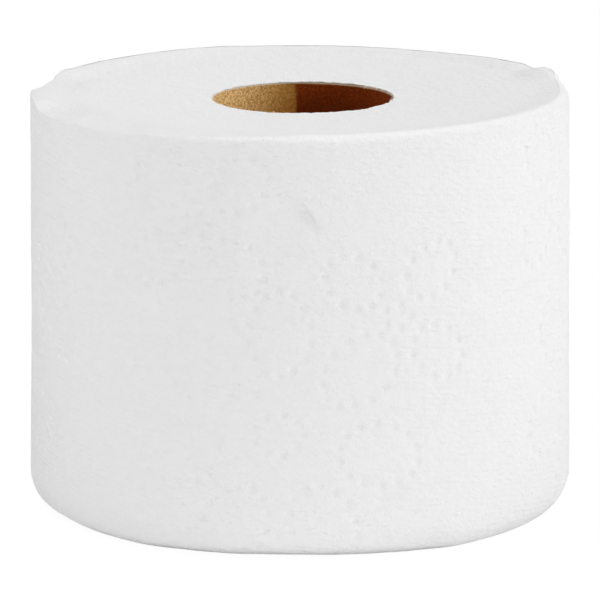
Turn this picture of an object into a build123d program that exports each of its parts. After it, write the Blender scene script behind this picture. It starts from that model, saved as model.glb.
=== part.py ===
"""Toilet paper roll standing on its end, in millimetres.

A web of soft tissue is wound in a spiral on a paperboard tube, and both are sawn off together.
Both rims of the web are worn round, the foot more than the top. The free end of the last turn,
the tail, is a step that runs down the whole side, and beside it the sheet's top edge is still
sharp and stands up past the rounded rim.

Origin: the core's axis, on the surface that the roll stands on. +Z is up along the core.
-Y is the side that is seen from the front.
"""

import os
from math import cos, radians, sin

from build123d import *

os.makedirs("parts", exist_ok=True)

# Web of tissue
roll_diameter = 127.0  # over the outermost turn
sheet_width = 99.0  # width of the web from saw cut to saw cut, and the height of the roll
top_rim_radius = 2.2
foot_rim_radius = 6.6
top_rim_shares = (0, 1 / 3, 2 / 3, 1)  # where the flat lands that make up each rounded rim meet
foot_rim_shares = (0, 1 / 4, 1 / 2, 3 / 4, 1)

# Tail, the free end of the last turn
tail_bearing = 177.0  # degrees from +X, anticlockwise seen from above
tail_step = 0.5  # two embossed plies, standing loose
sharp_arc = 22.0  # degrees of the last turn whose top edge is still sharp
sharp_root = 1.5  # how far the sharp edge reaches down behind the rounded rim

# Spiral line between the turns, as it shows on both sawn ends
turns_shown = 14
groove_width = 0.7
groove_depth = 0.5
straights_per_turn = 28  # the sawn edge of the sheet runs in short straights
first_land = 0.9  # from the core to the groove
last_land = 0.9  # from the groove to the rounded rim

# Paperboard core
core_bore = 42.5
core_wall = 0.9
seam_lead = 78.0  # height that the open seam of the inner ply climbs in one turn
seam_gap = 0.7
seam_depth = 0.2
seam_bearing = 84.0  # degrees from +X, where the seam meets the foot

overrun = 1.0  # how far a cutter runs past what it cuts

# Worked out from the sizes above
core_radius = core_bore / 2 + core_wall
outer_radius = (roll_diameter - tail_step) / 2
rim_start = outer_radius - max(top_rim_radius, foot_rim_radius)
spiral_start = core_radius + first_land + groove_width / 2
spiral_end = rim_start - last_land - groove_width / 2


def tail_plane(shift):
    """Upright plane through the tail. X runs out from the axis and Y is up, and the origin
    stands off the core's axis by shift."""
    out = (cos(radians(tail_bearing)), sin(radians(tail_bearing)), 0)
    across = (sin(radians(tail_bearing)), -cos(radians(tail_bearing)), 0)
    return Plane(origin=(shift * out[0], shift * out[1], 0), x_dir=out, z_dir=across)


def rim_corners(centre, radius, first_angle, shares):
    """Corners of a rounded rim, where each of the outer turns ends in a land of its own."""
    angles = [radians(first_angle + 90 * share) for share in shares]
    return [(centre[0] + radius * cos(a), centre[1] + radius * sin(a)) for a in angles]


def spiral_point(share, offset):
    """Point of the line between the turns, at this share of its length in turns. It grows
    outwards the way the last turn runs to the tail, clockwise seen from above."""
    angle = radians(tail_bearing - 360 * turns_shown * share)
    radius = spiral_start + (spiral_end - spiral_start) * share + offset
    return (radius * cos(angle), radius * sin(angle))


# Web. Its outside is a spiral too: two half turns about centres that lie half a tail step apart,
# which run smoothly into each other on the far side and leave the step at the tail.
half_turns = [
    (tail_plane(-tail_step / 4), outer_radius, -180),
    (tail_plane(tail_step / 4), outer_radius + tail_step / 2, 180),
]

with BuildPart() as tissue_roll:
    for plane, radius, arc in half_turns:
        foot_centre = (radius - foot_rim_radius, foot_rim_radius)
        top_centre = (radius - top_rim_radius, sheet_width - top_rim_radius)
        with BuildSketch(plane):
            with BuildLine():
                Polyline(
                    (0, sheet_width),
                    (0, 0),
                    *rim_corners(foot_centre, foot_rim_radius, -90, foot_rim_shares),
                    *rim_corners(top_centre, top_rim_radius, 0, top_rim_shares),
                    close=True,
                )
            make_face()
        revolve(axis=Axis(plane.origin, (0, 0, 1)), revolution_arc=arc)

    # Sharp top edge of the last turn, up to its free end
    with BuildSketch(plane):
        with Locations((radius, sheet_width)):
            Rectangle(tail_step, top_rim_radius + sharp_root, align=Align.MAX)
    revolve(axis=Axis(plane.origin, (0, 0, 1)), revolution_arc=sharp_arc)

    # Line between the turns, cut into both ends
    straights = turns_shown * straights_per_turn
    shares = [straight / straights for straight in range(straights + 1)]
    for end_plane in (Plane.XY, Plane.XY.offset(sheet_width - groove_depth)):
        with BuildSketch(end_plane):
            with BuildLine():
                Polyline(
                    *[spiral_point(share, -groove_width / 2) for share in shares],
                    *[spiral_point(share, groove_width / 2) for share in reversed(shares)],
                    close=True,
                )
            make_face()
        extrude(amount=groove_depth, mode=Mode.SUBTRACT)

    # Seat of the core
    with BuildSketch():
        Circle(core_radius)
    extrude(amount=sheet_width, mode=Mode.SUBTRACT)

# Core: a tube wound from strips of board, with the open seam of its inner ply as a helix
with BuildPart() as cardboard_core:
    with BuildSketch():
        Circle(core_radius)
        Circle(core_bore / 2, mode=Mode.SUBTRACT)
    extrude(amount=sheet_width)
    with BuildLine(Plane.XY.offset(-overrun).rotated((0, 0, seam_bearing))):
        seam = Helix(seam_lead, sheet_width + 2 * overrun, core_bore / 2)
    seam_foot = seam @ 0
    with BuildSketch(Plane(seam_foot, x_dir=(seam_foot.X, seam_foot.Y, 0), z_dir=seam % 0)):
        Rectangle(2 * seam_depth, seam_gap)
    sweep(path=seam, is_frenet=True, mode=Mode.SUBTRACT)

tissue_roll.part.label = "tissue_roll"
cardboard_core.part.label = "cardboard_core"

export_step(tissue_roll.part, "parts/tissue_roll.step")
export_step(cardboard_core.part, "parts/cardboard_core.step")
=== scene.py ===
"""Looks of the toilet paper roll, laid out as a Blender add-on and run as a script.

The wound turns, the embossed outer turn, the core and the loose fibres at the core's edge are
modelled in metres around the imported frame. Bearings are turned anticlockwise from +X, seen from
above, and -Y is the side that faces the camera.
"""

import random
from math import atan2, ceil, cos, degrees, exp, hypot, pi, radians, sin, tau

import bmesh
import bpy
from bpy.props import FloatProperty, FloatVectorProperty, PointerProperty
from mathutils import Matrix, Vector, noise


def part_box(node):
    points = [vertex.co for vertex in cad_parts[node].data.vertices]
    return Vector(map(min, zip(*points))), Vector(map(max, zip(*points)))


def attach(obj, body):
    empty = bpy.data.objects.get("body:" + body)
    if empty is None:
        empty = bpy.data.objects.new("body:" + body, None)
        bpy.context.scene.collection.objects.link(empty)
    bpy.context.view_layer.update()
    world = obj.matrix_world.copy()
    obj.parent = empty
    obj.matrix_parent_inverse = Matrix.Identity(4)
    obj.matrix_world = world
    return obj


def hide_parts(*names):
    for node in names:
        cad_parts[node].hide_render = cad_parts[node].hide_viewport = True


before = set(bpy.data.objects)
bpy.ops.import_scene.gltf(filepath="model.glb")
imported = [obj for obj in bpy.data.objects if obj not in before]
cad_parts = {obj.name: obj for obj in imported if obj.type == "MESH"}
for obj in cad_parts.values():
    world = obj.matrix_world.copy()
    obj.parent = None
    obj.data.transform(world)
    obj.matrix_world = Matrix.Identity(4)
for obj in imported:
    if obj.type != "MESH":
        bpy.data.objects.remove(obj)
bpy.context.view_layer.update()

WEB_LOW, WEB_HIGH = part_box("tissue_roll")
CORE_LOW, CORE_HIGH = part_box("cardboard_core")

bl_info = {
    "name": "Toilet paper roll",
    "version": (1, 0, 0),
    "blender": (4, 5, 0),
    "location": "3D View > Sidebar > Paper roll",
    "description": "Builds a wound roll of embossed tissue on a paperboard core",
    "category": "Add Mesh",
}

MM = 0.001
BODY = "root"
WEB_NODE = "tissue_roll"
CORE_NODE = "cardboard_core"
FRONT = radians(270)

# Sizes that the frame gives
WALL_RADIUS = (WEB_HIGH.x - WEB_LOW.x + WEB_HIGH.y - WEB_LOW.y) / 4
HEIGHT = WEB_HIGH.z
CORE_RADIUS = (CORE_HIGH.x - CORE_LOW.x) / 2


def a_length(name, description, default):
    """A length in metres that can be changed."""
    return FloatProperty(name=name, description=description, default=default, unit="LENGTH")


def an_angle(name, description, default):
    """An angle in radians that can be changed."""
    return FloatProperty(name=name, description=description, default=default, subtype="ANGLE")


def a_colour(name, description, default):
    """A colour that can be changed."""
    return FloatVectorProperty(name=name, description=description, default=default, subtype="COLOR",
                               min=0, max=1)


class WebSizes(bpy.types.PropertyGroup):
    """Sizes of the wound tissue."""

    wall_radius: a_length("Wall radius", "Mean radius of the outer turn", WALL_RADIUS)
    height: a_length("Height", "Height of the top rim, after handling", HEIGHT - 0.5 * MM)
    tail_bearing: an_angle("Tail bearing", "Where the last turn ends", radians(177))
    tail_step: a_length("Tail step", "How far the tail stands proud", 0.5 * MM)
    sheet: a_length("Sheet", "Thickness of the embossed sheet at its edges", 0.4 * MM)
    top_curl_in: a_length("Top curl in", "How far the top edge curls inward", 1.9 * MM)
    top_curl_up: a_length("Top curl height", "Height of the curled top rim", 2.2 * MM)
    foot_curl_in: a_length("Foot curl in", "How far the foot curls inward", 6.3 * MM)
    foot_curl_up: a_length("Foot curl height", "Height of the curled foot", 7.7 * MM)
    taper: a_length("Taper", "How much wider the foot is than the top", 0.75 * MM)
    slant: FloatProperty(name="Slant", description="Rise of the top face across its width",
                         default=0.0045, min=0)
    off_centre: a_length("Off centre", "How far the turns stand off the core", -0.6 * MM)
    dish: a_length("Dish", "How far the top face sinks towards the core", 2.1 * MM)


class EmbossSizes(bpy.types.PropertyGroup):
    """Sizes of the dotted flowers that are pressed into the sheet."""

    dot_radius: a_length("Dot radius", "Radius of one pressed dot", 1.5 * MM)
    dot_depth: a_length("Dot depth", "How deep a dot is pressed in", 0.55 * MM)
    dot_pitch: a_length("Dot pitch", "Spacing of the dots along a petal", 3.7 * MM)


class CoreSizes(bpy.types.PropertyGroup):
    """Sizes of the paperboard core."""

    radius: a_length("Radius", "Outside radius of the core", CORE_RADIUS)
    wall: a_length("Wall", "Thickness of the board", 0.9 * MM)
    seam_lead: a_length("Seam lead", "Climb of the ply's seam in one turn", 78 * MM)
    seam_depth: a_length("Seam depth", "Depth of the ply's open seam", 0.2 * MM)
    crease_bearing: an_angle("Crease bearing", "Where the board is creased", radians(96))
    crease_depth: a_length("Crease depth", "How far the crease stands out", 0.45 * MM)


class Colours(bpy.types.PropertyGroup):
    """Colours of the tissue, the board and the stage."""

    tissue: a_colour("Tissue", "Colour of the embossed sheet", (0.90, 0.90, 0.90))
    sawn: a_colour("Sawn ends", "Colour of the sawn edges", (0.90, 0.90, 0.90))
    board: a_colour("Board", "Colour of the core's inner ply", (0.92, 0.62, 0.28))
    board_grain: a_colour("Board grain", "Colour of the board's dark grain", (0.62, 0.35, 0.11))
    # Painted shade: the board made darker and browner towards the crease and down the bore
    painted_browning: a_colour("Brown board", "Colour of the board by the crease", (0.58, 0.27, 0.05))
    cut_board: a_colour("Cut board", "Colour of the board's sawn edge", (0.95, 0.80, 0.58))
    # Painted shade: the dark reddish board that stands in for the shadow in the hole past the crease
    painted_shade: a_colour("Damp board", "Colour of the darker, damp board", (0.28, 0.048, 0.003))
    floor: a_colour("Floor", "Colour of the floor and backdrop", (0.95, 0.95, 0.95))


class StageSizes(bpy.types.PropertyGroup):
    """Where the camera and the lamps stand."""

    camera_aside: a_length("Camera aside", "To the right of the core's axis", -0.72 * MM)
    camera_distance: a_length("Camera distance", "From the core's axis", 1397 * MM)
    camera_height: a_length("Camera height", "Above the floor", 341.6 * MM)
    camera_pitch: an_angle("Camera pitch", "How far the camera looks down", radians(11.88))
    lens: FloatProperty(name="Lens", description="Focal length in millimetres on a 36 mm sensor",
                        default=362.8, min=1)


def smooth(share):
    """Eases a share from 0 to 1."""
    share = min(1.0, max(0.0, share))
    return share * share * (3 - 2 * share)


def turned(bearing, start):
    """Angle from start to a bearing, anticlockwise, from 0 to a full turn."""
    return (bearing - start) % tau


def wobble(scale, *place):
    """Smooth noise from about -1 to 1 whose bumps are about scale wide. Where a place needs fewer
    than three lengths, the last number only picks a slice of the noise."""
    return noise.noise(Vector(place) / scale)


def relief(bumps, *place):
    """Height, at a place, of bumps that are given as their height and width."""
    height, width = bumps
    return height * wobble(width, *place)


def gap_between(bearing, other):
    """Angle between two bearings, from 0 to half a turn."""
    return abs((bearing - other + pi) % tau - pi)


# Meshes

def begin(name):
    """Names the new primitive, takes its place into its mesh and opens it in edit mode."""
    piece = bpy.context.object
    piece.name = name
    piece.data.name = name
    bpy.ops.object.transform_apply(location=True, rotation=True, scale=True)
    bpy.ops.object.mode_set(mode="EDIT")
    bpy.ops.mesh.select_all(action="DESELECT")
    return piece


def pick(piece, kind, test):
    """Selects the faces or edges of the open mesh that pass a test, and nothing else."""
    mesh = bmesh.from_edit_mesh(piece.data)
    bpy.context.tool_settings.mesh_select_mode = (False, kind == "edges", kind == "faces")
    bpy.ops.mesh.select_all(action="DESELECT")
    for element in getattr(mesh, kind):
        element.select_set(test(element))
    mesh.select_flush_mode()
    bmesh.update_edit_mesh(piece.data)


def end(piece, sharp_angle, finish, node):
    """Points the faces outward, shades the piece, gives it its finish and ties it to the frame."""
    bpy.ops.mesh.select_all(action="SELECT")
    bpy.ops.mesh.normals_make_consistent(inside=False)
    bpy.ops.object.mode_set(mode="OBJECT")
    bpy.ops.object.shade_smooth_by_angle(angle=sharp_angle)
    piece.data.materials.clear()
    piece.data.materials.append(finish)
    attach(piece, BODY)
    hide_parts(node)
    piece.select_set(False)


def move_points(piece, place):
    """Moves every point of a mesh to where place puts it."""
    for point in piece.data.vertices:
        point.co = place(point.co)
    piece.data.update()


# Emboss

FLOWERS = (
    # across and up to the centre in mm, petals, first petal's bearing, reach, half length, half width
    (-5.1, 29.7, 7, 90, 23.5, 9.6, 7.2),
    (22.1, 56.1, 4, 50, 13.4, 7.2, 5.6),
    (-24.0, 78.0, 4, 42, 13.4, 7.2, 5.6),
)
REPEATS = 4  # times that the flowers come round the roll
SHARED_PETAL = (1, 2)  # flower and petal that another flower's petal already draws
RING_SHARE = 0.2  # of a petal's reach, the radius of the ring in a flower's middle
RING_STRETCH = 1.2
FEWEST_DOTS = 5  # round one oval
BARE_TOP = 3 * MM  # below the rim, where no dot is pressed
BARE_FOOT_SHARE = 0.3  # of the foot's curl, where no dot is pressed


def loop_of_dots(across, up, bearing, half_length, half_width, pitch):
    """Evenly spaced dots round an oval whose long axis points along bearing."""
    outline = tau * ((half_length ** 2 + half_width ** 2) / 2) ** 0.5
    count = max(FEWEST_DOTS, round(outline / pitch))
    dots = []
    for index in range(count):
        turn = tau * index / count
        along = half_length * cos(turn)
        aside = half_width * sin(turn)
        dots.append((
            across + along * cos(bearing) - aside * sin(bearing),
            up + along * sin(bearing) + aside * cos(bearing),
        ))
    return dots


def emboss_dots(web, emboss):
    """Centres of all pressed dots, as arc length from the front and height."""
    turn_length = tau * web.wall_radius
    dots = []
    for repeat in range(REPEATS):
        shift = repeat * turn_length / REPEATS
        for flower, (across, up, petals, first, reach, half_length, half_width) in enumerate(FLOWERS):
            middle = (across * MM + shift, up * MM)
            ring = reach * MM * RING_SHARE
            dots += loop_of_dots(*middle, 0, ring * RING_STRETCH, ring, emboss.dot_pitch)
            for petal in range(petals):
                if (flower, petal) == SHARED_PETAL:
                    continue
                bearing = radians(first) + tau * petal / petals
                dots += loop_of_dots(
                    middle[0] + reach * MM * cos(bearing),
                    middle[1] + reach * MM * sin(bearing),
                    bearing,
                    half_length * MM,
                    half_width * MM,
                    emboss.dot_pitch,
                )
    lowest = web.foot_curl_up * BARE_FOOT_SHARE
    highest = web.height - BARE_TOP
    half = turn_length / 2
    return [((a + half) % turn_length - half, z) for a, z in dots if lowest < z < highest]


class DotField:
    """Finds how deep the sheet is pressed in at a place on the wall."""

    def __init__(self, dots, radius, depth, turn_length):
        self.radius = radius
        self.depth = depth
        self.turn_length = turn_length
        self.cell = 2 * radius
        self.cells = {}
        for dot in dots:
            for wrap in (-turn_length, 0, turn_length):
                placed = (dot[0] + wrap, dot[1])
                self.cells.setdefault(self.key(*placed), []).append(placed)

    def key(self, across, up):
        return (int(across // self.cell), int(up // self.cell))

    def nearest(self, across, up):
        """Distance to the nearest dot's centre, or one cell where none is near."""
        column, row = self.key(across, up)
        best = self.cell
        for i in (column - 1, column, column + 1):
            for j in (row - 1, row, row + 1):
                for dot in self.cells.get((i, j), ()):
                    best = min(best, hypot(across - dot[0], up - dot[1]))
        return best

    def pressed(self, across, up):
        distance = self.nearest(across, up)
        if distance >= self.radius:
            return 0.0
        return self.depth * cos(pi * distance / (2 * self.radius)) ** 2


# Outer turn

# Rows of the grid round the sheet's section: its foot edge, its outside up to the top edge, that
# edge, and its inside down to the foot again
OUTSIDE_ROWS = (1, 8, 66, 5)
INSIDE_ROWS = (1, 3, 2, 5)
SECTION_ROWS = OUTSIDE_ROWS + INSIDE_ROWS
WALL_COLUMNS = 296
SHARP_CURL = 0.15  # curl of the edge where it stands sharp, against the usual
CURL_FADE = 0.5  # further curl over which the edge turns from upright to curled
RIM_WAVE = (0.05 * MM, 7 * MM)  # height and width of the rim's small waves
DOT_MARGIN = 0.5 * MM  # of finer faces round a dot
LEAST_DENT = 0.04 * MM  # depth from which the dent gets finer faces
MERGE_DISTANCE = 0.002 * MM

# Top rim round the roll from the tail: angle in degrees, how round the rim is against the usual
# curl, and how far it lies below the rest in mm. The edge stands sharp at the tail and at the back,
# it is pressed low at the front left, and it is bruised on the right and worn at the left back
RIM_SHAPE = (
    (0, 0.15, 0.7), (12, 0.15, 0.6), (20, 0.25, 2.1), (28, 0.3, 2.2), (35, 0.3, 1.6), (43, 0.3, 1.9),
    (52, 0.3, 1.8), (60, 0.35, 1.1), (70, 0.5, 0.9), (95, 1.0, 0.1), (110, 1.0, 0.0), (160, 1.0, 0.0),
    (183, 1.3, 0.2), (193, 1.0, 0.25), (200, 0.4, -1.0), (205, 0.3, -0.8), (208.5, 0.2, 0.25),
    (211, 0.2, 0.4), (214, 0.15, 0.0), (222, 0.15, 0.1), (240, 0.15, 0.5), (262, 0.15, 0.35),
    (281, 0.15, 0.25), (292, 0.15, -0.1), (320, 0.15, 0.1), (334, 0.15, 0.2), (338, 0.2, -0.15),
    (341.5, 0.4, 0.4), (344, 0.6, 1.25), (352, 0.6, 1.3), (360, 0.15, 0.75),
)

# Foot in the same way: the curl against the usual, and how far it lifts off the floor in mm
FOOT_SHAPE = (
    (0, 1.0, 0.0), (28, 1.0, 0.5), (45, 1.0, 0.1), (56, 0.95, 0.0), (67, 1.0, 0.2), (76, 1.0, 0.3),
    (85, 1.0, 0.55), (93, 1.0, 0.6), (102, 1.0, 0.4), (110, 1.0, 0.25), (119, 1.0, 0.05),
    (129, 0.8, 0.0), (141, 0.9, 0.0), (156, 1.0, 0.0), (166, 1.05, 0.05), (174, 1.1, 0.12),
    (185, 1.05, 0.0), (200, 1.0, 0.0), (360, 1.0, 0.0),
)


def shape_at(shape, after_tail):
    """The two values of a shape at an angle from the tail, the second one in metres."""
    angle = degrees(after_tail)
    for (start, share, shift), (stop, next_share, next_shift) in zip(shape, shape[1:]):
        if angle <= stop:
            break
    along = smooth((angle - start) / (stop - start))
    return share + (next_share - share) * along, (shift + (next_shift - shift) * along) * MM


def rim_shape(web, after_tail):
    """How round the top rim is against the usual curl, and its height, at an angle from the tail."""
    curl, drop = shape_at(RIM_SHAPE, after_tail)
    return curl, web.height - drop + relief(RIM_WAVE, after_tail * web.wall_radius, 0, 5.0)


def upright_share(curl):
    """1 where the sheet's top edge stands upright, 0 where it curls in."""
    return 1 - smooth((curl - SHARP_CURL) / CURL_FADE)


def edge_inset(web, curl):
    """How far in from the wall the sheet's top edge ends."""
    return web.top_curl_in * curl + web.sheet * upright_share(curl)


def section_place(web, row, curl, height, foot_curl=1.0, foot=0.0):
    """How far in from the wall, and how high, a row of the sheet lies, for shares of the usual curl
    at the top rim and at the foot, and for their heights."""
    top_in = web.top_curl_in * curl
    top_up = web.top_curl_up * curl
    edge_in = edge_inset(web, curl)
    edge_down = web.sheet * (1 - upright_share(curl))
    wall_top = height - top_up
    foot_in = web.foot_curl_in * foot_curl
    foot_up = web.foot_curl_up * foot_curl
    wall_foot = foot + foot_up
    for stretch, rows in enumerate(SECTION_ROWS):
        if row <= rows or stretch == len(SECTION_ROWS) - 1:
            break
        row -= rows
    share = row / rows
    turn = share * pi / 2
    if stretch == 0:
        return (foot_in, foot + web.sheet * (1 - share))
    if stretch == 1:
        return (foot_in * (1 - sin(turn)), foot + foot_up * (1 - cos(turn)))
    if stretch == 2:
        return (0, wall_foot + share * (wall_top - wall_foot))
    if stretch == 3:
        return (top_in * (1 - cos(turn)), height - top_up * (1 - sin(turn)))
    if stretch == 4:
        return (top_in + (edge_in - top_in) * share, height - edge_down * share)
    if stretch == 5:
        inset = web.sheet + (edge_in - web.sheet) * (1 - sin(turn))
        return (inset, height - edge_down - (top_up - edge_down) * (1 - cos(turn)))
    if stretch == 6:
        return (web.sheet, wall_top + share * (wall_foot - wall_top))
    inset = web.sheet + (foot_in - web.sheet) * (1 - cos(turn))
    return (inset, wall_foot - (foot_up - web.sheet) * sin(turn))


def spiral_radius(web, after_tail):
    """Radius of the outer turn at an angle from the tail."""
    return web.wall_radius + web.tail_step * (0.5 - after_tail / tau)


def arc_from_front(web, share):
    """Arc length along the wall from the front, up to half a turn either way, to the place that is a
    share of a turn past the tail."""
    turn_length = tau * web.wall_radius
    arc = share * turn_length + web.wall_radius * (web.tail_bearing - FRONT)
    return (arc + turn_length / 2) % turn_length - turn_length / 2


# Dent in the front of the wall: a short steep fold, and a hollow that opens to its lower left
DENT_ACROSS = -0.4 * MM
DENT_UP = 81.5 * MM
DENT_BEARING = radians(-46)
DENT_BEND = 0.025 / MM  # how the fold bends over at its ends
DENT_HALF_LENGTH = 4.3 * MM
DENT_DEPTH = 1.0 * MM
DENT_GROOVE = (2.5 * MM, 1.1 * MM)  # depth and half width of the groove along the fold
DENT_FOLD = 0.65  # share of the depth that lies in the fold
DENT_EDGE = 1.8 * MM
DENT_FLOOR = 4.5 * MM  # from the fold to the deepest place
DENT_TRAIL = 6.5 * MM

# Soft crease low on the right
CREASE_POINTS = ((40.6 * MM, 18.6 * MM), (50.1 * MM, 10.0 * MM), (66.0 * MM, 10.5 * MM))
CREASE_HEIGHT = 0.12 * MM
CREASE_HALF_WIDTH = 1.3 * MM


def dent(across, up):
    """How deep the dent is at a place on the wall."""
    x = across - DENT_ACROSS
    z = up - DENT_UP
    along = x * cos(DENT_BEARING) + z * sin(DENT_BEARING)
    above = -x * sin(DENT_BEARING) + z * cos(DENT_BEARING)
    above += DENT_BEND * along * along
    ends = exp(-(along / DENT_HALF_LENGTH) ** 2)
    groove = DENT_GROOVE[0] * exp(-(above / DENT_GROOVE[1]) ** 2)
    past = -above - DENT_FLOOR
    if above > 0:
        hollow = DENT_FOLD * (1 - smooth(above / DENT_EDGE))
    elif past < 0:
        hollow = DENT_FOLD + (1 - DENT_FOLD) * smooth(-above / DENT_FLOOR)
    else:
        hollow = exp(-(past / DENT_TRAIL) ** 2)
    return ends * (DENT_DEPTH * hollow + groove)


def crease(across, up):
    """Height of the soft crease at a place on the wall."""
    best = 1.0
    for first, second in zip(CREASE_POINTS, CREASE_POINTS[1:]):
        run = (second[0] - first[0], second[1] - first[1])
        square = run[0] ** 2 + run[1] ** 2
        share = ((across - first[0]) * run[0] + (up - first[1]) * run[1]) / square
        share = min(1.0, max(0.0, share))
        best = min(best, hypot(across - first[0] - share * run[0], up - first[1] - share * run[1]))
    return CREASE_HEIGHT * exp(-(best / CREASE_HALF_WIDTH) ** 2)


# Height and width of the wall's uneven places, from the widest to the finest
WALL_SWELL = (0.10 * MM, 26 * MM)
WALL_CREPE = (0.035 * MM, 5 * MM)
WALL_GRAIN = (0.012 * MM, 1.6 * MM)
CREPE_SQUASH = 1.3  # how much flatter than wide they are
GRAIN_SQUASH = 1.6
RIM_SWELL = (0.15 * MM, 9 * MM)
RIM_SWELL_REACH = 3 * MM
LEFT_HOLLOW = 0.22 * MM  # how far the left side is pressed in


def wall_relief(web, across, up, bearing, dots):
    """How far the wall stands out from the plain spiral at a place. Dots is None on the inside of
    the sheet, which the dots and the crepe don't reach."""
    lift = crease(across, up) - dent(across, up)
    x = cos(bearing) * web.wall_radius
    y = sin(bearing) * web.wall_radius
    lift += relief(WALL_SWELL, x, y, up)
    if dots:
        lift -= dots.pressed(across, up)
        lift += relief(WALL_CREPE, x, y, up * CREPE_SQUASH)
        lift += relief(WALL_GRAIN, x, y, up * GRAIN_SQUASH)
    left = max(0.0, cos(bearing - pi)) ** 4
    lift -= LEFT_HOLLOW * left * sin(pi * min(1.0, up / web.height)) ** 2
    rim = exp(-((web.height - up) / RIM_SWELL_REACH) ** 2)
    return lift + rim * relief(RIM_SWELL, x, y, 3.0)


def around(web, radius, bearing, up):
    """Point at a radius about the turns' own centre, with the roll's taper and slant."""
    share = up / web.height
    near_wall = min(1.0, max(0.0, radius / web.wall_radius)) ** 2
    radius += web.taper * (0.5 - share) * near_wall
    x = radius * cos(bearing) + web.off_centre * near_wall
    y = radius * sin(bearing)
    return Vector((x, y, up + web.slant * x * share))


def wind_outer_turn(piece, web, dots):
    """Winds the flat unit grid into the outer turn and gives it a UV map in metres."""
    total = sum(SECTION_ROWS)
    turn_length = tau * web.wall_radius
    places = {}
    for point in piece.data.vertices:
        share = point.co.x + 0.5
        after_tail = share * tau
        bearing = web.tail_bearing + after_tail
        row = (point.co.y + 0.5) * total
        shape = (*rim_shape(web, after_tail), *shape_at(FOOT_SHAPE, after_tail))
        inset, up = section_place(web, row, *shape)
        outside = 0.5 < row < sum(OUTSIDE_ROWS) + 0.5
        lift = wall_relief(web, arc_from_front(web, share), up, bearing, dots if outside else None)
        radius = spiral_radius(web, after_tail) - inset + lift
        places[point.index] = (around(web, radius, bearing, up), share * turn_length, up)
    uv = piece.data.uv_layers.active.data
    for loop in piece.data.loops:
        _, arc, up = places[loop.vertex_index]
        uv[loop.index].uv = (arc, up)
    for point in piece.data.vertices:
        point.co = places[point.index][0]
    piece.data.update()


def close_uv_map(piece, turn_length):
    """Keeps the UV map from running back round the roll on the faces that close the tail."""
    uv = piece.data.uv_layers.active.data
    for face in piece.data.polygons:
        corners = [uv[index] for index in face.loop_indices]
        if max(c.uv.x for c in corners) - min(c.uv.x for c in corners) > turn_length / 2:
            for corner in corners:
                corner.uv = (corner.uv.x + turn_length * (corner.uv.x < turn_length / 2), corner.uv.y)


class ROLL_OT_outer_turn(bpy.types.Operator):
    """Adds the embossed outer turn"""

    bl_idname = "paper_roll.outer_turn"
    bl_label = "Outer turn"

    def execute(self, context):
        web = context.scene.roll_web
        emboss = context.scene.roll_emboss
        turn_length = tau * web.wall_radius
        rows = sum(SECTION_ROWS)
        dots = DotField(emboss_dots(web, emboss), emboss.dot_radius, emboss.dot_depth, turn_length)
        bpy.ops.mesh.primitive_grid_add(x_subdivisions=WALL_COLUMNS, y_subdivisions=rows, size=1)
        piece = begin("outer_turn")

        def needs_detail(face):
            centre = face.calc_center_median()
            row = (centre.y + 0.5) * rows
            if row > sum(OUTSIDE_ROWS):
                return False
            _, up = section_place(web, row, 1, web.height)
            across = arc_from_front(web, centre.x + 0.5)
            near = dots.nearest(across, up) < emboss.dot_radius + DOT_MARGIN
            return near or dent(across, up) > LEAST_DENT

        pick(piece, "faces", needs_detail)
        bpy.ops.mesh.subdivide(number_cuts=2)
        bpy.ops.object.mode_set(mode="OBJECT")
        wind_outer_turn(piece, web, dots)
        bpy.ops.object.mode_set(mode="EDIT")
        pick(piece, "edges", lambda e: e.is_boundary)
        bpy.ops.mesh.remove_doubles(threshold=MERGE_DISTANCE)
        pick(piece, "edges", lambda e: e.is_boundary)
        bpy.ops.mesh.bridge_edge_loops()
        bpy.ops.object.mode_set(mode="OBJECT")
        close_uv_map(piece, turn_length)
        bpy.ops.object.mode_set(mode="EDIT")
        end(piece, radians(50), tissue_finish(context.scene.roll_colours, web), WEB_NODE)
        return {"FINISHED"}


# Wound turns

END_COLUMNS = 288
RIM_SEGMENTS = 3
TURN_RING = 0.4 * MM  # width of a ring of faces on the top face
TURN_RIM = 0.2 * MM  # rounding of the top face's edge
FOOT_RING = 1.3 * MM
FOOT_SEGMENTS = 6
WALL_GAP = 0.9 * MM  # between the outer turn's inside and the turns below it
WALL_HOLLOW = 3.0 * MM  # how much deeper they lie half way up, behind the dent
EDGE_TUCK = 0.25 * MM  # how far the top face reaches under the outer turn's edge
RIM_REACH = 12 * MM  # how far in from the rim its high and low places fade out
TURNS_SHOWN = 14
TURN_RELIEF = 0.012 * MM
TURN_FADE = (0.6, 30 * MM)  # how much the turns' lines come and go, and over what width
TURN_DRIFT = (1.2, 14 * MM)  # how far they wander, in radians, and over what width
END_SWELL = (0.09 * MM, 9 * MM)  # height and width of the fluff on a sawn end
END_FLUFF = (0.06 * MM, 2.6 * MM)
BRIM_SHARE = 0.25  # of the dish that lies close to the rim, over a fifth of the top face
FOOT_RECESS = 0.15 * MM
RIM_STEP = 0.05 * MM  # from the outer turn's top down to the turns inside it
CORE_GAP = 0.05 * MM
MOUTH = 1.6 * MM  # width of the ring where the sawn tissue is torn and laps over the board
EDGE_LAP = 0.15 * MM  # how much of the board's edge the torn tissue leaves bare
LAP_DEPTH = 0.18 * MM
LIP_SHARE = 0.9  # of the lap's depth, down to the torn lip's underside
NICK_DEPTH = 0.55 * MM
NICK_WIDTHS = (1.7 * MM, 0.8 * MM)
LIP_WAVE = (0.12 * MM, 1.3 * MM)  # height and width of the torn lip's waves


def top_height(web, core, radius):
    """Height of the sawn top face at a radius."""
    inner = core.radius
    outer = web.wall_radius - web.top_curl_in
    share = min(1.0, max(0.0, (outer - radius) / (outer - inner)))
    sunk = (1 - BRIM_SHARE) * share + BRIM_SHARE * smooth(share * 5)
    return web.height - RIM_STEP - web.dish * sunk


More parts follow.
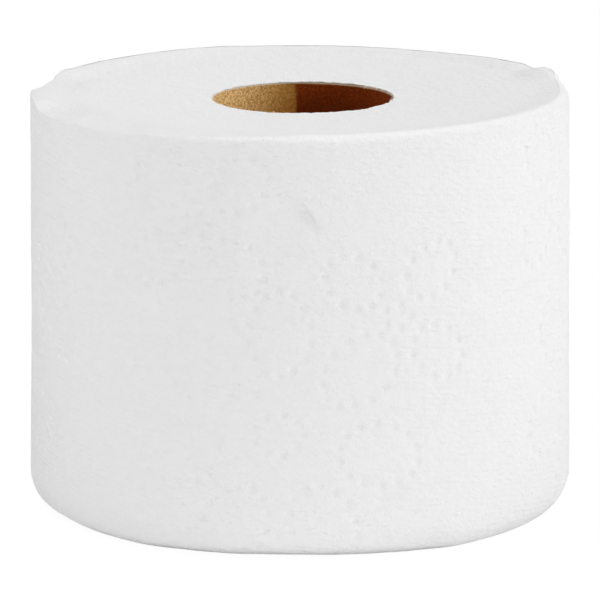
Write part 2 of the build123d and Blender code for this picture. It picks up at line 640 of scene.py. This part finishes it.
def end_relief(web, radius, bearing, seed):
    """Relief of a sawn end: the edges of the turns, and the fluff that the saw left."""
    x = radius * cos(bearing)
    y = radius * sin(bearing)
    pitch = (web.wall_radius - web.top_curl_in - CORE_RADIUS) / TURNS_SHOWN
    turn = radius / pitch - turned(bearing, web.tail_bearing) / tau
    strength = TURN_FADE[0] + relief(TURN_FADE, x, y, seed)
    drift = relief(TURN_DRIFT, x, y, seed + 4)
    lines = TURN_RELIEF * strength * cos(tau * turn + drift)
    return lines + relief(END_SWELL, x, y, seed + 1) + relief(END_FLUFF, x, y, seed + 2)


def settle_turns(web, core, outside):
    """Place function that gives the plain bored cylinder the form of the wound turns."""
    hole = core.radius + CORE_GAP
    flat = outside - TURN_RIM
    mouth_top = top_height(web, core, hole)

    def place(co):
        radius = hypot(co.x, co.y)
        bearing = atan2(co.y, co.x)
        up = co.z
        after_tail = turned(bearing, web.tail_bearing)
        spread = web.tail_step * (0.5 - after_tail / tau) * (radius / web.wall_radius) ** 3
        if radius < hole + MM / 100 and MM < up < web.height - MM:
            # The bore's two middle rows become the underside of the torn lip over the board's edge
            lip = up > web.height / 2
            if lip:
                radius = core.radius - core.wall + EDGE_LAP
            up = mouth_top - LAP_DEPTH * (LIP_SHARE if lip else 1.0)
        elif radius > flat and web.foot_curl_up + MM < up < web.height - MM:
            radius -= WALL_HOLLOW
        elif up > web.height / 2:
            rim_drop = web.height - up
            curl, height = rim_shape(web, after_tail)
            brim = web.wall_radius - edge_inset(web, curl) + EDGE_TUCK
            if radius > flat:
                radius += brim - outside
            else:
                radius = hole + (radius - hole) * (brim - TURN_RIM - hole) / (flat - hole)
            up = top_height(web, core, radius) - rim_drop + end_relief(web, radius, bearing, 2.0)
            up += (height - web.height) * smooth(1 - (brim - radius) / RIM_REACH)
            torn = smooth((hole + MOUTH - radius) / MOUTH)
            nicks = max(0.0, wobble(NICK_WIDTHS[0], co.x, co.y, 7.0))
            nicks += 0.5 * wobble(NICK_WIDTHS[1], co.x, co.y, 9.0)
            radius -= torn ** 3 * (core.wall + CORE_GAP - EDGE_LAP)
            radius += NICK_DEPTH * torn * nicks
            up += torn * relief(LIP_WAVE, co.x, co.y, 8.0)
        elif radius < web.wall_radius - web.foot_curl_in + MM:
            up = up + max(0.0, FOOT_RECESS + end_relief(web, radius, bearing, 12.0))
        return around(web, radius + spread, bearing, max(0.0, up))

    return place


class ROLL_OT_wound_turns(bpy.types.Operator):
    """Adds the wound turns inside the outer one, with both sawn ends"""

    bl_idname = "paper_roll.wound_turns"
    bl_label = "Wound turns"

    def execute(self, context):
        web = context.scene.roll_web
        core = context.scene.roll_core
        outside = web.wall_radius - web.sheet - WALL_GAP
        bpy.ops.mesh.primitive_cylinder_add(
            vertices=END_COLUMNS, radius=outside, depth=web.height,
            location=(0, 0, web.height / 2), end_fill_type="NGON",
        )
        piece = begin("wound_turns")
        near = 0.01 * MM
        top = web.height - near
        hole = core.radius + CORE_GAP
        pick(piece, "edges", lambda e: all(p.co.z > top for p in e.verts))
        bpy.ops.mesh.bevel(offset=TURN_RIM, segments=RIM_SEGMENTS, affect="EDGES")
        pick(piece, "edges", lambda e: all(p.co.z < near for p in e.verts))
        foot_rim = web.foot_curl_up
        bpy.ops.mesh.bevel(offset=foot_rim, segments=FOOT_SEGMENTS, affect="EDGES")
        for at_top, rim, ring in ((True, TURN_RIM, TURN_RING), (False, foot_rim, FOOT_RING)):
            side = 1 if at_top else -1
            pick(piece, "faces", lambda f: side * f.normal.z > 0.999 and len(f.verts) > 4)
            width = outside - rim - hole
            rings = ceil(width / ring)
            for _ in range(rings):
                bpy.ops.mesh.inset(thickness=width / rings)
        pick(piece, "faces", lambda f: abs(f.normal.z) > 0.999 and len(f.verts) > 4)
        bpy.ops.mesh.bridge_edge_loops()
        pick(piece, "edges", lambda e: abs(e.verts[0].co.z - e.verts[1].co.z) > 0.99 * web.height)
        bpy.ops.mesh.subdivide(number_cuts=2)
        bpy.ops.object.mode_set(mode="OBJECT")
        move_points(piece, settle_turns(web, core, outside))
        bpy.ops.object.mode_set(mode="EDIT")
        end(piece, radians(50), sawn_finish(context.scene.roll_colours), WEB_NODE)
        return {"FINISHED"}


# Core

CORE_COLUMNS = 320
CORE_ROWS = 100
CREASE_LEAN = 0.8
CREASE_REACH = 3.2 * MM
SEAM_HALF_WIDTH = 0.6 * MM
SEAM_BEARING = radians(84)
LAP_GAP = 0.08 * MM  # between the torn lip and the board's edge under it
BORE_GRAIN = (0.03 * MM, 3 * MM)  # height and width of the bore's uneven places
EDGE_GRAIN = (0.05 * MM, 1.4 * MM)
OUTER_SWELL = 0.02 * MM  # the most that a crease shows on the core's outside, inside the web
DEEPEST_SHARE = 0.6  # of the wall, the most that a crease or the seam goes into it


def board_top(web, core):
    """Height of the board's sawn edge, under the tissue that laps over it."""
    return top_height(web, core, core.radius) - LAP_DEPTH - LAP_GAP


def settle_core(web, core):
    """Place function that gives the plain tube its creases, its seam and its sawn edges."""
    bore = core.radius - core.wall
    top = board_top(web, core)
    foot = FOOT_RECESS

    def place(co):
        radius = hypot(co.x, co.y)
        bearing = atan2(co.y, co.x)
        up = foot + (top - foot) * co.z / web.height
        inside = radius < core.radius - core.wall / 2
        shift = 0.0
        for turn in (0, pi):
            line = core.crease_bearing + turn - radians(CREASE_LEAN) * (top - up) / bore
            shift += core.crease_depth * exp(-gap_between(bearing, line) * bore / CREASE_REACH)
        if inside:
            seam = SEAM_BEARING + tau * up / core.seam_lead
            off = gap_between(bearing, seam) * bore
            shift += core.seam_depth * (1 - smooth(off / SEAM_HALF_WIDTH))
            shift += relief(BORE_GRAIN, co.x, co.y, up)
        radius += min(shift, core.wall * DEEPEST_SHARE if inside else OUTER_SWELL)
        if co.z > web.height - MM / 100:
            up += relief(EDGE_GRAIN, co.x, co.y, 3.0)
        x = radius * cos(bearing)
        y = radius * sin(bearing)
        return Vector((x, y, up + web.slant * x))

    return place


class ROLL_OT_core(bpy.types.Operator):
    """Adds the paperboard core"""

    bl_idname = "paper_roll.core"
    bl_label = "Core"

    def execute(self, context):
        web = context.scene.roll_web
        core = context.scene.roll_core
        bore = core.radius - core.wall
        bpy.ops.mesh.primitive_cylinder_add(
            vertices=CORE_COLUMNS, radius=core.radius, depth=web.height,
            location=(0, 0, web.height / 2), end_fill_type="NGON",
        )
        piece = begin("core_tube")
        pick(piece, "faces", lambda f: abs(f.normal.z) > 0.999)
        bpy.ops.mesh.inset(thickness=core.wall)
        pick(piece, "faces", lambda f: abs(f.normal.z) > 0.999 and len(f.verts) > 4)
        bpy.ops.mesh.bridge_edge_loops()
        middle = (core.radius + bore) / 2

        def climbs_inside(edge):
            first, second = edge.verts
            inner = hypot(first.co.x, first.co.y) < middle and hypot(second.co.x, second.co.y) < middle
            return inner and abs(first.co.z - second.co.z) > MM

        pick(piece, "edges", climbs_inside)
        bpy.ops.mesh.subdivide(number_cuts=CORE_ROWS - 1)
        bpy.ops.object.mode_set(mode="OBJECT")
        move_points(piece, settle_core(web, core))
        bpy.ops.object.mode_set(mode="EDIT")
        finish = board_finish(context.scene.roll_colours, core, board_top(web, core))
        end(piece, radians(40), finish, CORE_NODE)
        return {"FINISHED"}


# Loose fibres at the torn edge of the hole

FIBRE_COUNT = 42
FIBRE_SEED = 11
FIBRE_RADIUS = 0.13 * MM
FIBRE_LENGTHS = (0.6 * MM, 1.6 * MM)
LONG_FIBRES = (44, -58, -92, -8, -143)  # bearings of the longer ones, in degrees
LONG_FIBRE = 2.0 * MM
FIBRE_ROOT = (0.3 * MM, 0.15 * MM)  # outward from the torn edge, and down from the top face
FIBRE_THINNING = 0.7  # share of the thickness that a fibre loses by its tip


def bend_fibre(web, core, bearing, length, draw):
    """Place function that bends a straight fibre, 1 mm long, out of the torn edge."""
    out = Vector((cos(bearing), sin(bearing), 0))
    side = Vector((-sin(bearing), cos(bearing), 0))
    up = Vector((0, 0, 1))
    hole = core.radius - core.wall + EDGE_LAP
    top = top_height(web, core, core.radius)
    root = around(web, hole + FIBRE_ROOT[0], bearing, top - FIBRE_ROOT[1])
    lean = side * draw.uniform(-1.2, 1.2) + up * draw.uniform(0.0, 0.6) - out * draw.uniform(0.3, 1.0)
    lean.normalize()
    curl = side * draw.uniform(-0.6, 0.6) - up * draw.uniform(0.2, 0.8)

    def place(co):
        along = co.z / MM
        thin = 1 - FIBRE_THINNING * along
        return root + length * (lean * along + curl * along * along) + thin * (side * co.x + up * co.y)

    return place


class ROLL_OT_torn_fibres(bpy.types.Operator):
    """Adds the loose fibres at the torn edge of the hole"""

    bl_idname = "paper_roll.torn_fibres"
    bl_label = "Torn fibres"

    def execute(self, context):
        web = context.scene.roll_web
        core = context.scene.roll_core
        draw = random.Random(FIBRE_SEED)
        bpy.ops.mesh.primitive_cylinder_add(
            vertices=5, radius=FIBRE_RADIUS, depth=MM, location=(0, 0, MM / 2), end_fill_type="NGON",
        )
        piece = begin("torn_fibres")
        pick(piece, "edges", lambda e: abs(e.verts[0].co.z - e.verts[1].co.z) > MM / 2)
        bpy.ops.mesh.subdivide(number_cuts=6)
        bpy.ops.object.mode_set(mode="OBJECT")
        fibres = [piece]
        for _ in range(FIBRE_COUNT - 1):
            bpy.ops.object.duplicate()
            fibres.append(context.object)
        for index, fibre in enumerate(fibres):
            long = index < len(LONG_FIBRES)
            bearing = radians(LONG_FIBRES[index]) if long else draw.uniform(0, tau)
            length = LONG_FIBRE if long else draw.uniform(*FIBRE_LENGTHS)
            move_points(fibre, bend_fibre(web, core, bearing, length, draw))
            fibre.select_set(True)
        context.view_layer.objects.active = piece
        bpy.ops.object.join()
        bpy.ops.object.mode_set(mode="EDIT")
        end(piece, radians(60), sawn_finish(context.scene.roll_colours), WEB_NODE)
        return {"FINISHED"}


# Finishes

def new_finish(name, roughness):
    """An empty finish, its node tree and its shader."""
    material = bpy.data.materials.new(name)
    material.use_nodes = True
    tree = material.node_tree
    shader = tree.nodes["Principled BSDF"]
    shader.inputs["Roughness"].default_value = roughness
    shader.inputs["Specular IOR Level"].default_value = 0.15
    return material, tree, shader


def node(tree, kind, inputs=(), **settings):
    """Adds a node. Inputs maps socket names or numbers to values, or to sockets that feed them."""
    made = tree.nodes.new("ShaderNode" + kind)
    for name, value in settings.items():
        setattr(made, name, value)
    for key, value in dict(inputs).items():
        if isinstance(value, bpy.types.NodeSocket):
            tree.links.new(value, made.inputs[key])
        else:
            made.inputs[key].default_value = value
    return made


def maths(tree, operation, first, second=0.0):
    """Output of a maths node."""
    return node(tree, "Math", {0: first, 1: second}, operation=operation).outputs[0]


def noise_of(tree, place, width, detail=2.0):
    """Noise whose bumps are about width wide, from about 0 to 1."""
    inputs = {"Vector": place, "Scale": 1 / width, "Detail": detail}
    return node(tree, "TexNoise", inputs).outputs["Fac"]


def bumped(tree, shader, reliefs):
    """Chains a bump for each height socket and its depth, and feeds the shader."""
    normal = None
    for height, depth in reliefs:
        inputs = {"Height": height, "Distance": depth}
        if normal:
            inputs["Normal"] = normal
        normal = node(tree, "Bump", inputs).outputs["Normal"]
    tree.links.new(normal, shader.inputs["Normal"])


def mixed(tree, share, first, second):
    """Mix of two colours, or of two colour sockets, which is the second one at a share of 1."""
    mix = node(tree, "Mix", {0: share}, data_type="RGBA")
    for slot, colour in ((6, first), (7, second)):
        if isinstance(colour, bpy.types.NodeSocket):
            tree.links.new(colour, mix.inputs[slot])
        else:
            mix.inputs[slot].default_value = (*colour, 1)
    return mix.outputs[2]


def tinted(colour, share):
    """A colour made darker or lighter by a share, within white."""
    return [min(1.0, share * c) for c in colour]


def span_of(tree, value, start, stop, first=0.0, last=1.0):
    """Eases from first to last as a value goes from start to stop."""
    inputs = {"Value": value, "From Min": start, "From Max": stop, "To Min": first, "To Max": last}
    return node(tree, "MapRange", inputs, interpolation_type="SMOOTHSTEP").outputs[0]


# Width and depth of the bumps in the tissue
CREPE_BUMPS = (0.9 * MM, 0.38 * MM)
CREPE_STRETCH = 0.55  # how much less often they come round the roll than up it
FIBRE_BUMPS = (0.45 * MM, 0.18 * MM)
CLOUD_BUMPS = (2.4 * MM, 0.14 * MM)
LINE_BUMPS = (1.3 * MM, 0.02 * MM)  # of the fine lines that run round the sheet
LINE_SLANT = radians(6.5)
LINE_DRIFT = (9 * MM, 5.0)
CLOUD_SHADE = 0.975  # of the tissue's colour, where the sheet is cloudy
PAINTED_DENT_SHADE_ACROSS = 1.2 * MM  # where the painted shade of the dent lies, a grey patch that stands in for its shadow
PAINTED_DENT_SHADE_UP = 79.9 * MM
PAINTED_DENT_SHADE_HALF_SIZE = (5.2 * MM, 2.8 * MM, 1.0)
PAINTED_DENT_SHADE_TINT = 0.93  # of the tissue's colour
PAINTED_DENT_SHADE_FADE = (0.1, 1.0, 1.0, 0.0)  # from its middle to its edge, and its strength at both
PAINTED_DENT_SHADE_CLOUDS = (0.3, 0.6, 0.6, 1.0)  # from the noise's thin places to its thick ones, and the same


def tissue_finish(colours, web):
    """Creped, embossed tissue: fine slanting lines, crepe, loose fibres and a painted shade in the dent.
    """
    material, tree, shader = new_finish("Embossed tissue", 0.95)
    shader.inputs["Sheen Weight"].default_value = 0.1
    uv = node(tree, "UVMap").outputs["UV"]
    slanted = node(tree, "Mapping", {"Vector": uv, "Rotation": (0, 0, LINE_SLANT)}).outputs[0]
    parts = node(tree, "SeparateXYZ", {0: slanted}).outputs
    drift = maths(tree, "MULTIPLY", noise_of(tree, uv, LINE_DRIFT[0]), LINE_DRIFT[1])
    phase = maths(tree, "ADD", maths(tree, "MULTIPLY", parts[1], tau / LINE_BUMPS[0]), drift)
    lines = maths(tree, "SINE", phase)
    stretched = node(tree, "Mapping", {"Vector": uv, "Scale": (CREPE_STRETCH, 1, 1)}).outputs[0]
    crepe = noise_of(tree, stretched, CREPE_BUMPS[0], 3.0)
    fibre = noise_of(tree, uv, FIBRE_BUMPS[0])
    cloud = noise_of(tree, uv, CLOUD_BUMPS[0])
    bumped(tree, shader, (
        (lines, LINE_BUMPS[1]), (crepe, CREPE_BUMPS[1]), (fibre, FIBRE_BUMPS[1]), (cloud, CLOUD_BUMPS[1]),
    ))
    pale = tuple(colours.tissue)
    clouded = mixed(tree, cloud, tinted(pale, CLOUD_SHADE), pale)
    # Painted shade: a grey patch over the dent's fold, where its shadow falls
    arc = PAINTED_DENT_SHADE_ACROSS + web.wall_radius * (FRONT - web.tail_bearing)
    painted_dent_shade_place = {"Vector": uv, "Location": (arc, PAINTED_DENT_SHADE_UP, 0), "Rotation": (0, 0, DENT_BEARING),
             "Scale": PAINTED_DENT_SHADE_HALF_SIZE}
    painted_dent_shade_spot = node(tree, "Mapping", painted_dent_shade_place, vector_type="TEXTURE").outputs[0]
    off = node(tree, "VectorMath", {0: painted_dent_shade_spot}, operation="LENGTH").outputs["Value"]
    painted_dent_shade = maths(tree, "MULTIPLY", span_of(tree, off, *PAINTED_DENT_SHADE_FADE), span_of(tree, cloud, *PAINTED_DENT_SHADE_CLOUDS))
    with_painted_dent_shade = mixed(tree, painted_dent_shade, clouded, tinted(pale, PAINTED_DENT_SHADE_TINT))
    tree.links.new(with_painted_dent_shade, shader.inputs["Base Color"])
    return material


# Width and depth of the bumps in a sawn end
TURN_BUMPS = (0.7 * MM, 0.01 * MM)
TURN_SQUEEZE = 0.008  # metres of the noise that one radian along a turn passes
FELT_BUMPS = (1.0 * MM, 0.24 * MM)
FLUFF_BUMPS = (2.6 * MM, 0.18 * MM)
FLUFF_SHADE = 0.96  # of the sawn tissue's colour, between the fluff


def sawn_finish(colours):
    """Sawn edges of the turns: a soft felt of fibres with faint lines along the turns."""
    material, tree, shader = new_finish("Sawn tissue", 1.0)
    shader.inputs["Sheen Weight"].default_value = 0.1
    place = node(tree, "TexCoord").outputs["Object"]
    parts = node(tree, "SeparateXYZ", {0: place}).outputs
    radius = maths(tree, "SQRT", maths(tree, "ADD", maths(tree, "MULTIPLY", parts[0], parts[0]),
                                       maths(tree, "MULTIPLY", parts[1], parts[1])))
    around_axis = maths(tree, "ARCTAN2", parts[1], parts[0])
    along = maths(tree, "MULTIPLY", around_axis, TURN_SQUEEZE)
    ring = node(tree, "CombineXYZ", {0: radius, 1: along}).outputs[0]
    edges = noise_of(tree, ring, TURN_BUMPS[0])
    felt = noise_of(tree, place, FELT_BUMPS[0], 3.0)
    fluff = noise_of(tree, place, FLUFF_BUMPS[0])
    bumped(tree, shader, ((edges, TURN_BUMPS[1]), (felt, FELT_BUMPS[1]), (fluff, FLUFF_BUMPS[1])))
    pale = tuple(colours.sawn)
    shade = mixed(tree, fluff, tinted(pale, FLUFF_SHADE), pale)
    tree.links.new(shade, shader.inputs["Base Color"])
    return material


# Width and depth of the bumps in the board
FLECK_BUMPS = (0.6 * MM, 0.10 * MM)
GRAIN_BUMPS = (0.4 * MM, 0.06 * MM)
MOTTLE_SPAN = (0.42, 0.58)  # of the mixed noise, from the dark grain to the plain board
# Painted shade in the bore past the crease, standing in for the hole's own shadow
PAINTED_SHADE_RAGGED = (3.5 * MM, 0.04)  # width and reach, in radians, of the unevenness of the painted shade's edge
PAINTED_SHADE_EDGE = radians(2.5)  # width of the edge of the painted shade, at the crease
PAINTED_SHADE_FADE = (radians(95), radians(150))  # past the crease, where the painted shade fades out
PAINTED_SHADE_TOP = (0.6 * MM, 0.35)  # how far below the sawn edge it gets fainter, and its share there
PAINTED_SHADE_DEPTH = 7 * MM  # from the sawn edge down to where the painted shade is darkest
PAINTED_SHADE_GRAIN_SHARE = (0.35, 1.05)  # share of its grain colours against its darkest, down there and at the edge
PAINTED_SHADE_TONES = (0.5, 0.7, 1.2)  # of the painted shade's colour: darkest, in the grain and between the grain
PAINTED_BROWNING_ARC = (radians(-45), radians(8))  # before the crease, where painted shade makes the board darker and browner
PAINTED_BROWNING_DEPTH = (12 * MM, 0.2)  # how far down the whole bore is painted browner as shade, and by what share
PAINTED_BROWNING_GRAIN = 0.75  # of the colour of the painted shade before the crease, in the grain
PLAIN_SHADE = 1.12  # of the plain board's colour, between the grain
CUT_EDGE = (0.45 * MM, 0.1 * MM)  # below the top, where the board's colour meets the sawn edge's


def board_finish(colours, core, top):
    """Unbleached board with long fibres, with painted shade: darker towards the crease and down the bore,
    and dark reddish past the crease.
    """
    material, tree, shader = new_finish("Core board", 0.9)
    place = node(tree, "TexCoord").outputs["Object"]
    parts = node(tree, "SeparateXYZ", {0: place}).outputs
    fleck = noise_of(tree, place, FLECK_BUMPS[0], 4.0)
    cloud = noise_of(tree, place, PAINTED_SHADE_RAGGED[0])
    grain = noise_of(tree, place, GRAIN_BUMPS[0])
    bumped(tree, shader, ((fleck, FLECK_BUMPS[1]), (grain, GRAIN_BUMPS[1])))
    mottle = maths(tree, "ADD", maths(tree, "MULTIPLY", fleck, 0.5), maths(tree, "MULTIPLY", grain, 0.5))
    spread = span_of(tree, mottle, *MOTTLE_SPAN)
    pale = mixed(tree, spread, colours.board_grain, tinted(colours.board, PLAIN_SHADE))
    # Painted shade: a darker copy of the board for the side that darkens towards the crease
    painted_browning = mixed(tree, spread, tinted(colours.painted_browning, PAINTED_BROWNING_GRAIN), colours.painted_browning)
    # Painted shade past the crease, darker further down the bore
    darkest, in_grain, between = (tinted(colours.painted_shade, shade) for shade in PAINTED_SHADE_TONES)
    painted_shade_lightening = span_of(tree, parts[2], top - PAINTED_SHADE_DEPTH, top, *PAINTED_SHADE_GRAIN_SHARE)
    painted_shade = mixed(tree, painted_shade_lightening, darkest, mixed(tree, spread, in_grain, between))
    bearing = maths(tree, "ARCTAN2", parts[1], parts[0])
    leaning = maths(tree, "MULTIPLY", maths(tree, "SUBTRACT", top, parts[2]),
                    radians(CREASE_LEAN) / (core.radius - core.wall))
    ragged = maths(tree, "MULTIPLY", maths(tree, "SUBTRACT", cloud, 0.5), PAINTED_SHADE_RAGGED[1])
    line = maths(tree, "SUBTRACT", core.crease_bearing, maths(tree, "ADD", leaning, ragged))
    past = maths(tree, "SUBTRACT", line, bearing)
    # Painted shade: the whole bore darker and browner further down
    deep = span_of(tree, parts[2], top - PAINTED_BROWNING_DEPTH[0], top, PAINTED_BROWNING_DEPTH[1], 0.0)
    painted_browning_share = maths(tree, "ADD", span_of(tree, past, *PAINTED_BROWNING_ARC), deep)
    board = mixed(tree, painted_browning_share, pale, painted_browning)
    # Share of the painted shade: from the crease round to where it fades, fainter at the sawn edge
    share = maths(tree, "MULTIPLY", span_of(tree, past, 0.0, PAINTED_SHADE_EDGE),
                  span_of(tree, past, *PAINTED_SHADE_FADE, 1.0, 0.0))
    faint = span_of(tree, parts[2], top - PAINTED_SHADE_TOP[0], top, 1.0, PAINTED_SHADE_TOP[1])
    share = maths(tree, "MULTIPLY", share, faint)
    inside = mixed(tree, share, board, painted_shade)
    at_edge = span_of(tree, parts[2], *(top - below for below in CUT_EDGE))
    tree.links.new(mixed(tree, at_edge, inside, colours.cut_board), shader.inputs["Base Color"])
    return material


# Stage

class ROLL_OT_stage(bpy.types.Operator):
    """Adds the floor, the backdrop, the lamps and the camera"""

    bl_idname = "paper_roll.stage"
    bl_label = "Stage"

    def execute(self, context):
        sizes = context.scene.roll_stage
        floor_and_backdrop(context.scene.roll_colours)
        for name, bearing, climb, distance, width, height, power in LAMPS:
            add_lamp(name, radians(bearing), radians(climb), distance, width, height, power)
        light_world(context.scene)
        add_camera(context.scene, sizes)
        return {"FINISHED"}


# Bearing and climb in degrees, distance, width and height in metres, power in watts
LAMPS = (
    ("key_lamp", -30, 18, 2.4, 1.2, 1.2, 20.2),
    ("side_lamp", 0, 45, 2.4, 1.2, 1.2, 21.0),
    ("top_lamp", 150, 72, 1.6, 1.0, 1.0, 4.6),
    ("left_lamp", 190, 60, 1.6, 0.8, 0.8, 6.6),
    ("brow_lamp", -145, 50, 1.6, 0.8, 0.8, 1.6),
    ("left_strip", -125, 0, 1.0, 1.0, 0.07, 2.6),
)
WORLD_STRENGTH = 0.13
FLOOR_SIZE = 6.0
BACKDROP_HEIGHT = 3.0
SWEEP = 1.2  # radius of the sweep from the floor into the backdrop
FLOOR_GLOW = 0.96  # of plain white, where the floor is seen in no shadow
FLOOR_SHADE = 0.06  # how strongly the seen floor still takes light and shadow
AIM = Vector((0.0, 0.0, 0.05))


def add_lamp(name, bearing, climb, distance, width, height, power):
    """Adds a soft lamp that faces the roll."""
    out = Vector((cos(climb) * cos(bearing), cos(climb) * sin(bearing), sin(climb)))
    bpy.ops.object.light_add(type="AREA", location=AIM + out * distance)
    lamp = bpy.context.object
    lamp.name = name
    lamp.rotation_euler = out.to_track_quat("Z", "Y").to_euler()
    lamp.data.shape = "RECTANGLE"
    lamp.data.size = width
    lamp.data.size_y = height
    lamp.data.energy = power
    lamp.visible_camera = False
    lamp.select_set(False)


def light_world(scene):
    """An even white sky, which the camera sees as plain white."""
    world = bpy.data.worlds.new("Studio")
    scene.world = world
    world.use_nodes = True
    tree = world.node_tree
    sky = tree.nodes["Background"]
    sky.inputs["Color"].default_value = (1, 1, 1, 1)
    path = node(tree, "LightPath").outputs
    seen = maths(tree, "MAXIMUM", path["Is Camera Ray"], path["Is Glossy Ray"])
    span = node(tree, "MapRange", {"Value": seen, "To Min": WORLD_STRENGTH, "To Max": 1.0})
    tree.links.new(span.outputs[0], sky.inputs["Strength"])


def floor_and_backdrop(colours):
    """Adds a floor that runs up into a backdrop in one sweep."""
    bpy.ops.mesh.primitive_plane_add(size=FLOOR_SIZE, location=(0, 0, 0))
    floor = begin("floor")
    pick(floor, "edges", lambda e: all(p.co.y > FLOOR_SIZE / 2 - MM for p in e.verts))
    bpy.ops.mesh.extrude_region_move(TRANSFORM_OT_translate={"value": (0, 0, BACKDROP_HEIGHT)})
    pick(floor, "edges", lambda e: all(p.co.y > FLOOR_SIZE / 2 - MM and p.co.z < MM for p in e.verts))
    bpy.ops.mesh.bevel(offset=SWEEP, segments=16, affect="EDGES")
    bpy.ops.object.mode_set(mode="OBJECT")
    bpy.ops.object.shade_smooth()
    floor.data.materials.append(floor_finish(colours))
    floor.select_set(False)


def floor_finish(colours):
    """Pale floor that the camera sees as white, with the roll's shadow left on it."""
    material = bpy.data.materials.new("Studio floor")
    material.use_nodes = True
    tree = material.node_tree
    tree.nodes.remove(tree.nodes["Principled BSDF"])
    out = tree.nodes["Material Output"]
    plain = node(tree, "BsdfDiffuse", {"Color": (*colours.floor, 1)}).outputs[0]
    faint = node(tree, "BsdfDiffuse", {"Color": (FLOOR_SHADE, FLOOR_SHADE, FLOOR_SHADE, 1)}).outputs[0]
    glow = node(tree, "Emission", {"Strength": FLOOR_GLOW}).outputs[0]
    seen = node(tree, "AddShader", {0: faint, 1: glow}).outputs[0]
    path = node(tree, "LightPath").outputs
    by_eye = maths(tree, "MAXIMUM", path["Is Camera Ray"], path["Is Glossy Ray"])
    mix = node(tree, "MixShader", {0: by_eye, 1: plain, 2: seen}).outputs[0]
    tree.links.new(mix, out.inputs["Surface"])
    return material


def add_camera(scene, sizes):
    """Adds the camera in front of the roll, looking down on it."""
    place = (sizes.camera_aside, -sizes.camera_distance, sizes.camera_height)
    tilt = (pi / 2 - sizes.camera_pitch, 0, 0)
    bpy.ops.object.camera_add(location=place, rotation=tilt)
    camera = bpy.context.object
    camera.name = "camera"
    camera.data.lens = sizes.lens
    camera.data.clip_end = 100
    scene.camera = camera
    camera.select_set(False)


class VIEW3D_PT_paper_roll(bpy.types.Panel):
    """Lists the pieces of the roll"""

    bl_label = "Paper roll"
    bl_space_type = "VIEW_3D"
    bl_region_type = "UI"
    bl_category = "Paper roll"

    def draw(self, context):
        for operator in OPERATORS:
            self.layout.operator(operator.bl_idname)


GROUPS = {
    "roll_web": WebSizes,
    "roll_emboss": EmbossSizes,
    "roll_core": CoreSizes,
    "roll_colours": Colours,
    "roll_stage": StageSizes,
}
OPERATORS = (ROLL_OT_wound_turns, ROLL_OT_outer_turn, ROLL_OT_core, ROLL_OT_torn_fibres, ROLL_OT_stage)


def register():
    for name, group in GROUPS.items():
        bpy.utils.register_class(group)
        setattr(bpy.types.Scene, name, PointerProperty(type=group))
    for kind in (*OPERATORS, VIEW3D_PT_paper_roll):
        bpy.utils.register_class(kind)


def unregister():
    for kind in (VIEW3D_PT_paper_roll, *reversed(OPERATORS)):
        bpy.utils.unregister_class(kind)
    for name, group in reversed(GROUPS.items()):
        delattr(bpy.types.Scene, name)
        bpy.utils.unregister_class(group)


def main():
    """Builds every piece and the stage."""
    register()
    bpy.ops.object.select_all(action="DESELECT")
    bpy.context.scene.view_settings.view_transform = "Standard"
    bpy.ops.paper_roll.wound_turns()
    bpy.ops.paper_roll.outer_turn()
    bpy.ops.paper_roll.core()
    bpy.ops.paper_roll.torn_fibres()
    bpy.ops.paper_roll.stage()


if __name__ == "__main__":
    main()
